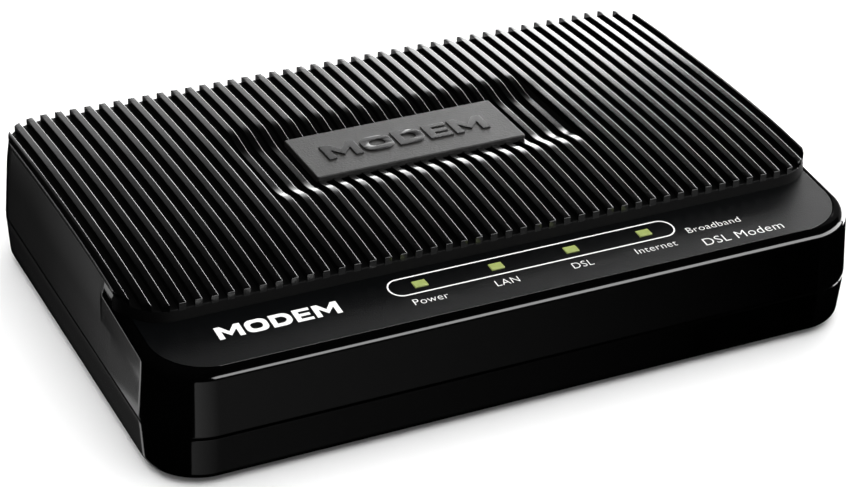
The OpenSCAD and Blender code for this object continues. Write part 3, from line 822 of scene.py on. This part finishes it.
# letter outlines in a unit cap height: every glyph is a width and its closed loops
def arcCorner(x, y, radius, start, steps=8):
    return [(x + radius * math.cos(math.radians(start + 90 * k / steps)),
             y + radius * math.sin(math.radians(start + 90 * k / steps))) for k in range(steps + 1)]


def glyphO(stroke):
    loops = []
    for inset, radius in ((0, 0.36), (stroke, 0.36 - stroke * 0.6)):
        low, right, top = inset + radius, 1.06 - inset - radius, 1 - inset - radius
        loops.append(arcCorner(right, top, radius, 0) + arcCorner(low, top, radius, 90)
                     + arcCorner(low, low, radius, 180) + arcCorner(right, low, radius, 270))
    return 1.06, loops


def glyphD(stroke):
    loops = []
    for inset, radius in ((0, 0.42), (stroke, 0.42 - stroke * 0.7)):
        right, top = 0.98 - inset - radius, 1 - inset - radius
        loops.append(arcCorner(right, top, radius, 0) + [(inset, 1 - inset), (inset, inset)]
                     + arcCorner(right, inset + radius, radius, 270))
    return 0.98, loops


def glyphM(stroke):
    wide, dip = 1.2, 0.16
    half, shoulder = wide / 2, stroke * 1.1
    right = wide - stroke
    return wide, [[(0, 0), (stroke, 0), (stroke, 0.62), (half, dip), (right, 0.62), (right, 0), (wide, 0),
                   (wide, 1), (wide - shoulder, 1), (half, dip + 0.36), (shoulder, 1), (0, 1)]]


def glyphE(stroke):
    wide, bar = 0.8, stroke * 0.82
    middle = 0.5 - bar / 2
    return wide, [[(0, 0), (wide, 0), (wide, bar), (stroke, bar), (stroke, middle), (wide * 0.92, middle),
                   (wide * 0.92, middle + bar), (stroke, middle + bar), (stroke, 1 - bar), (wide, 1 - bar),
                   (wide, 1), (0, 1)]]


glyphs = {"M": glyphM, "O": glyphO, "D": glyphD, "E": glyphE}


def boldWord(name, text, height, stretch, stroke, gap, depth, bevel, matrix, finish):
    curve = bpy.data.curves.new(name, "CURVE")
    curve.dimensions = "2D"
    curve.fill_mode = "BOTH"
    curve.extrude = depth * mm / 2
    curve.bevel_depth = bevel * mm
    curve.bevel_resolution = 2
    shapes = [glyphs[letter](stroke) for letter in text]
    total = sum(width for width, loops in shapes) + gap * (len(text) - 1)
    x = -total / 2
    for width, loops in shapes:
        for loop in loops:
            spline = curve.splines.new("POLY")
            spline.points.add(len(loop) - 1)
            for point, (px, py) in zip(spline.points, loop):
                point.co = ((x + px) * height * stretch * mm, (py - 0.5) * height * mm, 0, 1)
            spline.use_cyclic_u = True
        x += width + gap
    return curveMesh(name, curve, matrix, finish)


def curveMesh(name, curve, matrix, finish):
    host = bpy.data.objects.new(name, curve)
    bpy.context.scene.collection.objects.link(host)
    graph = bpy.context.evaluated_depsgraph_get()
    mesh = bpy.data.meshes.new_from_object(host.evaluated_get(graph))
    bpy.data.objects.remove(host)
    mesh.transform(matrix)
    bm = bmesh.new()
    bm.from_mesh(mesh)
    bmesh.ops.remove_doubles(bm, verts=bm.verts, dist=0.0000005)
    bmesh.ops.recalc_face_normals(bm, faces=bm.faces)
    bm.to_mesh(mesh)
    bm.free()
    return finishMesh(name, mesh, [finishes[finish]], 35)


badge = {"halfX": 21.8, "halfY": 8.1, "cornerR": 0.5, "edge": 0.25, "thickness": 1.25, "sink": 0.5,
         "letterHeight": 5.2, "letterRise": 0.33, "letterStretch": 1.12, "stroke": 0.25, "gap": 0.14,
         "text": "MODEM"}


def onSlope(bm, centre, slope):
    bm.transform(Matrix.Translation(centre) @ Matrix.Rotation(-math.atan(slope), 4, "X"))


def thinWord(name, text, size, stretch, depth, matrix, finish):
    curve = bpy.data.curves.new(name, "FONT")
    curve.body = text
    curve.size = size * mm
    curve.align_x = "CENTER"
    curve.align_y = "CENTER"
    curve.extrude = depth * mm / 2
    curve.offset = -0.028 * mm
    curve.space_character = 1.06
    curve.resolution_u = 6
    return curveMesh(name, curve, matrix @ Matrix.Diagonal((stretch, 1, 1, 1)), finish)


def slopeMatrix(x, y, z, slope):
    return Matrix.Translation((x * mm, y * mm, z * mm)) @ Matrix.Rotation(math.atan(slope), 4, "X")


def buildBadge():
    slope = (crownZ(dish["y"] - 1) - crownZ(dish["y"] + 1)) / 2
    bottom = crownZ(dish["y"]) - dish["depth"] - badge["sink"]
    top, e = badge["thickness"], badge["edge"]
    levels = [(0.06, 0), (0, 0.06), (0, top - e)]
    for k in range(1, 5):
        a = math.radians(90 * k / 4)
        levels.append((e * (1 - math.cos(a)), top - e + e * math.sin(a)))
    bm = bmesh.new()
    addLoft(bm, [[(x, y, z) for x, y in outline(badge["halfX"], -badge["halfY"], badge["halfY"],
                                                badge["cornerR"], badge["cornerR"], inset, 6)]
                 for inset, z in levels])
    onSlope(bm, (dish["x"], dish["y"], bottom), slope)
    place(toObject("badgePlate", bm, [finishes["badge"]]), "badge", nodes=["badge_plate"])
    matrix = slopeMatrix(dish["x"], dish["y"], bottom + top + badge["letterRise"] / 2 - 0.08, -slope)
    word = boldWord("badgeLetters", badge["text"], badge["letterHeight"], badge["letterStretch"],
                    badge["stroke"], badge["gap"], badge["letterRise"] - 0.14, 0.07, matrix, "letter")
    place(word, "badge", nodes=["badge_plate"])


# print on the status panel

panelPrint = {
    "lift": -0.005, "ink": 0.02, "line": 0.3,
    "ringHalfX": 28.9, "ringHalfY": 2.45, "labelSize": 2.5, "labelDrop": 4.9,
    "labels": ("Power", "LAN", "DSL", "Internet"),
    "sideText": (("Broadband", 42.1, -36.9, 2.4), ("DSL Modem", 46.0, -41.3, 3.1)),
    "mark": ("MODEM", -44.7, -35.9, 3.5),
}


def printMatrix(x, y):
    z = panelZ(y) - 0.02 + panelPrint["ink"] / 2 + panelPrint["lift"]
    return slopeMatrix(x, y, z, case["panelSlope"])


def buildPrint():
    p = panelPrint
    middle = sum(windowXs) / len(windowXs)
    bm = bmesh.new()
    steps = 24

    def stadium(grow, z):
        r = p["ringHalfY"] + grow
        straight = p["ringHalfX"] - p["ringHalfY"]
        points = []
        for side, start in ((1, -90), (-1, 90)):
            for k in range(steps + 1):
                a = math.radians(start + 180 * k / steps)
                points.append((side * straight + r * math.cos(a), r * math.sin(a), z))
        return points

    half = p["line"] / 2
    rings = [stadium(half, 0), stadium(half, p["ink"]), stadium(-half, p["ink"]), stadium(-half, 0)]
    loops = addLoft(bm, rings, closed=False)
    count = len(loops[0])
    for i in range(count):
        j = (i + 1) % count
        bm.faces.new((loops[3][i], loops[3][j], loops[0][j], loops[0][i]))
    onSlope(bm, (0, 0, 0), -case["panelSlope"])
    bmesh.ops.translate(bm, vec=(middle, lightY, panelZ(lightY) - 0.02 + p["lift"]), verts=bm.verts)
    bmesh.ops.recalc_face_normals(bm, faces=bm.faces)
    place(toObject("lightOutline", bm, [finishes["print"]]), "case_plastic")
    for x, word in zip(windowXs, p["labels"]):
        piece = thinWord("label" + word, word, p["labelSize"], 1.0, p["ink"],
                         printMatrix(x - 0.2, lightY - p["labelDrop"]), "print")
        place(piece, "case_plastic")
    for word, x, y, size in p["sideText"]:
        name = "side" + word.replace(" ", "")
        place(thinWord(name, word, size, 1.05, p["ink"], printMatrix(x, y), "print"), "case_plastic")
    word, x, y, height = p["mark"]
    place(boldWord("markModem", word, height, 1.13, 0.25, 0.14, p["ink"], 0, printMatrix(x, y), "print"),
          "case_plastic")


buildBadge()
buildPrint()
print("badge and print made")


# feet

def footTree():
    tree, kit, w = nodeTree("rubberFeet", {
        "Radius": ("Float", 0.005), "Height": ("Float", 0.0013), "Distance X": ("Float", 0.09),
        "Distance Y": ("Float", 0.073), "Middle Y": ("Float", 0.0), "Edge": ("Float", 0.0003),
        "Material": ("Material", None)})
    grid = kit.add("GeometryNodeMeshGrid", {}, {"Size X": w["Distance X"], "Size Y": w["Distance Y"],
                                                "Vertices X": 2, "Vertices Y": 2})
    profile = kit.add("GeometryNodeCurvePrimitiveCircle", {}, {"Resolution": 64, "Radius": w["Radius"]})
    path = kit.add("GeometryNodeCurvePrimitiveLine", {}, {
        "Start": (0, 0, 0), "End": kit.add("ShaderNodeCombineXYZ", {}, {"Z": w["Height"]})})
    path = kit.add("GeometryNodeResampleCurve", {}, {"Curve": path, "Count": 14})
    height = kit.add("ShaderNodeSeparateXYZ", {}, {0: kit.add("GeometryNodeInputPosition")}, "Z")
    near = (w["Edge"] - height).most(0.0)
    round_ = 1.0 - (w["Edge"] - (w["Edge"] * w["Edge"] - near * near).most(0.0).root()) / w["Radius"]
    body = kit.add("GeometryNodeCurveToMesh", {}, {
        "Curve": path, "Profile Curve": profile, "Scale": round_, "Fill Caps": True})
    many = kit.add("GeometryNodeInstanceOnPoints", {}, {"Points": grid, "Instance": body})
    shift = kit.add("ShaderNodeCombineXYZ", {}, {"Y": w["Middle Y"]})
    moved = kit.add("GeometryNodeTranslateInstances", {}, {"Instances": many, "Translation": shift})
    endTree(kit, moved, w["Material"])
    return tree


def buildFeet():
    low, high = boxOf("rubber_feet")
    radius = foot["radius"]
    feet = growTree("rubberFeet", footTree(), {
        "Radius": radius * mm, "Height": (high[2] - low[2]) * mm,
        "Distance X": (high[0] - low[0] - 2 * radius) * mm,
        "Distance Y": (high[1] - low[1] - 2 * radius) * mm,
        "Middle Y": (low[1] + high[1]) / 2 * mm, "Edge": foot["edge"] * mm, "Material": finishes["rubber"]},
        [finishes["rubber"]], 40)
    place(feet, "rubber", nodes=["rubber_feet"])


buildFeet()
print("feet made")


# sockets, buttons and what else keeps its CAD shape

rounded = {
    "light_pipe": (0.12, "window", "light_pipe", "case"),
    "ethernet_jack": (0.2, "socket", "socket_plastic", "case"),
    "phone_jack": (0.2, "socket", "socket_plastic", "case"),
    "power_jack": (0.2, "socket", "socket_plastic", "case"),
    "power_jack_pin": (0.2, "nickel", "plated", "case"),
    "ethernet_contacts": (0.04, "gold", "gold", "case"),
    "phone_contacts": (0.04, "gold", "gold", "case"),
    "power_button": (0.35, "button", "button_plastic", "power_button"),
    "reset_plunger": (0.2, "plunger", "plunger", "reset_plunger"),
    "case_screws": (0.12, "zinc", "screw", "case"),
    "rating_label": (0.04, "film", "label", "case"),
}
for node, (width, finish, slot, body) in rounded.items():
    words = node.split("_")
    name = words[0] + "".join(word.capitalize() for word in words[1:]) + "Piece"
    place(softened(node, width, finish, name), slot, body, [node])

kept = {
    "circuit_board": "mask", "status_leds": "lens", "power_switch": "switch", "reset_switch": "switch",
    "modem_chip": "epoxy", "line_driver_chip": "epoxy", "memory_chip": "epoxy", "flash_chip": "epoxy",
    "line_transformer": "ferrite", "lan_transformer": "epoxy", "surge_arrester": "glaze",
    "capacitors": "sleeve", "inductors": "copper", "crystals": "can", "regulators": "epoxy",
    "chip_resistors": "epoxy", "pin_header": "gold", "board_screws": "zinc",
}
everyNode = dict(kept, **{node: values[1] for node, values in rounded.items()},
                 lower_shell="gloss", upper_shell="gloss", badge_plate="badge", rubber_feet="rubber")
for node, finish in everyNode.items():
    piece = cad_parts[node]
    piece.data.materials.clear()
    piece.data.materials.append(finishes[finish])
print("small pieces made")


# floor, camera and light

studio = {
    "floorSize": 6.0, "floorTone": 0.9, "world": (0.001, 0.001, 0.001), "overhead": 76, "fill": 36,
    "lampSize": 2.8, "lampDistance": 1.6, "lampElevation": 88, "cardDistance": 6.0, "centre": (0, 0, 0.015),
    "aim": (1.577, 0.0, 8.219), "azimuth": -26.504, "elevation": 31.045, "roll": 2.006,
    "distance": 508.5, "lens": 110.664252,
}


def direction(azimuth, elevation):
    # azimuth 0 is in front of the modem, 90 on its right, 180 behind
    a, e = math.radians(azimuth), math.radians(elevation)
    back = Vector((math.sin(a) * math.cos(e), -math.cos(a) * math.cos(e), math.sin(e)))
    return back, Vector((math.cos(a), math.sin(a), 0))


def addSheet(bm, halfX, halfY):
    bm.faces.new([bm.verts.new((x * halfX, y * halfY, 0)) for x, y in ((-1, -1), (1, -1), (1, 1), (-1, 1))])


def buildFloor():
    bm = bmesh.new()
    half = studio["floorSize"] / mm / 2
    addSheet(bm, half, half)
    material, kit, shader, spot = startMaterial("paleFloor")
    cloud = noise(kit, spot, 0.4, 2.0)
    tone = studio["floorTone"]
    feed(kit, shader, "Base Color", kit.mixColour(cloud, rgba((tone,) * 3), rgba((tone * 0.98,) * 3)))
    feed(kit, shader, "Roughness", 0.6)
    floor = toObject("floor", bm, [material])
    floor.visible_glossy = False
    floor.visible_shadow = False


def addLight(name, power, shadow=True):
    # lights the floor and the room, unseen in reflections
    data = bpy.data.lights.new(name, "AREA")
    data.shape = "RECTANGLE"
    data.size = data.size_y = studio["lampSize"]
    data.energy = power
    data.use_shadow = shadow
    lamp = bpy.data.objects.new(name, data)
    back = direction(0, studio["lampElevation"])[0]
    target = Vector(studio["centre"])
    lamp.location = target + back * studio["lampDistance"]
    lamp.rotation_euler = (target - lamp.location).to_track_quat("-Z", "Y").to_euler()
    lamp.visible_camera = lamp.visible_glossy = False
    bpy.context.scene.collection.objects.link(lamp)


def cardGlow(name, fromSide, toSide, fromLow, toHigh, halfWide, halfHigh):
    # emission that changes evenly from one side to the other and from bottom to top
    material = bpy.data.materials.new(name)
    material.use_nodes = True
    tree = material.node_tree
    tree.nodes.clear()
    kit = Kit(tree)
    spot = kit.add("ShaderNodeTexCoord", {}, {}, "Object")
    across = kit.add("ShaderNodeSeparateXYZ", {}, {0: spot}, "X") / (2 * halfWide) + 0.5
    up = kit.add("ShaderNodeSeparateXYZ", {}, {0: spot}, "Y") / (2 * halfHigh) + 0.5
    glow = (across * (toSide - fromSide) + fromSide) * (up * (toHigh - fromLow) + fromLow)
    emission = tree.nodes.new("ShaderNodeEmission")
    tree.links.new(glow.socket, emission.inputs["Strength"])
    output = tree.nodes.new("ShaderNodeOutputMaterial")
    tree.links.new(emission.outputs[0], output.inputs[0])
    return material


def addCard(name, azimuths, heights, sides, levels=(1.0, 1.0)):
    # a card far away, seen only in reflections; sides are its brightness at the two azimuths
    distance = studio["cardDistance"]
    halfWide, halfHigh = (distance * math.tan(math.radians(pair[1] - pair[0]) / 2)
                          for pair in (azimuths, heights))
    back, right = direction(sum(azimuths) / 2, sum(heights) / 2)
    bm = bmesh.new()
    addSheet(bm, halfWide, halfHigh)
    mesh = bpy.data.meshes.new(name)
    bm.to_mesh(mesh)
    bm.free()
    mesh.materials.append(cardGlow(name, *sides, *levels, halfWide, halfHigh))
    card = bpy.data.objects.new(name, mesh)
    turn = Matrix((right, back.cross(right), back)).transposed().to_4x4()
    card.matrix_world = Matrix.Translation(back * distance + Vector(studio["centre"])) @ turn
    bpy.context.scene.collection.objects.link(card)
    card.visible_camera = card.visible_diffuse = card.visible_shadow = card.visible_transmission = False


def buildCamera():
    back, right = direction(studio["azimuth"], studio["elevation"])
    up = back.cross(right)
    r = math.radians(studio["roll"])
    turnedRight = math.cos(r) * right + math.sin(r) * up
    turnedUp = -math.sin(r) * right + math.cos(r) * up
    data = bpy.data.cameras.new("camera")
    data.sensor_width = 36
    data.lens = studio["lens"]
    data.clip_start = 0.01
    camera = bpy.data.objects.new("camera", data)
    aim = Vector(studio["aim"]) * mm
    matrix = Matrix((turnedRight, turnedUp, back)).transposed().to_4x4()
    matrix.translation = aim + back * studio["distance"] * mm
    camera.matrix_world = matrix
    bpy.context.scene.collection.objects.link(camera)
    bpy.context.scene.camera = camera


# each card: its two azimuths, its two elevations, its brightness at its sides, and at its foot and head
cards = {
    "backCard": ((96, 149), (5, 24), (15.0, 15.0), (1.0, 0.6)),
    "backCardEnd": ((149, 157), (5, 24), (15.0, 5.0), (1.0, 0.5)),
    "backCardTop": ((96, 176), (24, 38), (0.9, 0.15), (1.0, 0.1)),
    "backCardLow": ((96, 168), (-16, 5), (11.0, 8.0)),
    "backCardLeft": ((157, 178), (5, 24), (4.0, 0.3), (1.0, 0.3)),
    "frontCard": ((12, 92), (10, 36), (6.5, 9.5)),
    "frontDim": ((-22, 31.5), (-33, -12), (0.61, -0.018)),
    "frontDimLow": ((-22, 33), (-56, -33), (0.36, -0.03)),
    "cornerStrip": ((206.5, 212), (-31.7, -10), (1.0, 1.0)),
    "cornerStripLow": ((203, 209), (-56, -31.7), (0.8, 0.8)),
    "leftDim": ((194, 202.3), (-31.7, -10), (0.005, 0.03)),
    "leftDimFront": ((202.3, 205), (-31.7, -10), (0.03, 0.24)),
    "leftDimLow": ((190, 203), (-56, -31.7), (-0.02, 0.16)),
}

buildFloor()
buildCamera()
world = bpy.data.worlds.new("studio")
bpy.context.scene.world = world
world.use_nodes = True
world.node_tree.nodes["Background"].inputs["Color"].default_value = rgba(studio["world"])
addLight("overhead", studio["overhead"])
addLight("fill", studio["fill"], shadow=False)
for name, values in cards.items():
    addCard(name, *values)
bpy.context.scene.view_settings.view_transform = "Standard"
print("stage, camera and lights made")
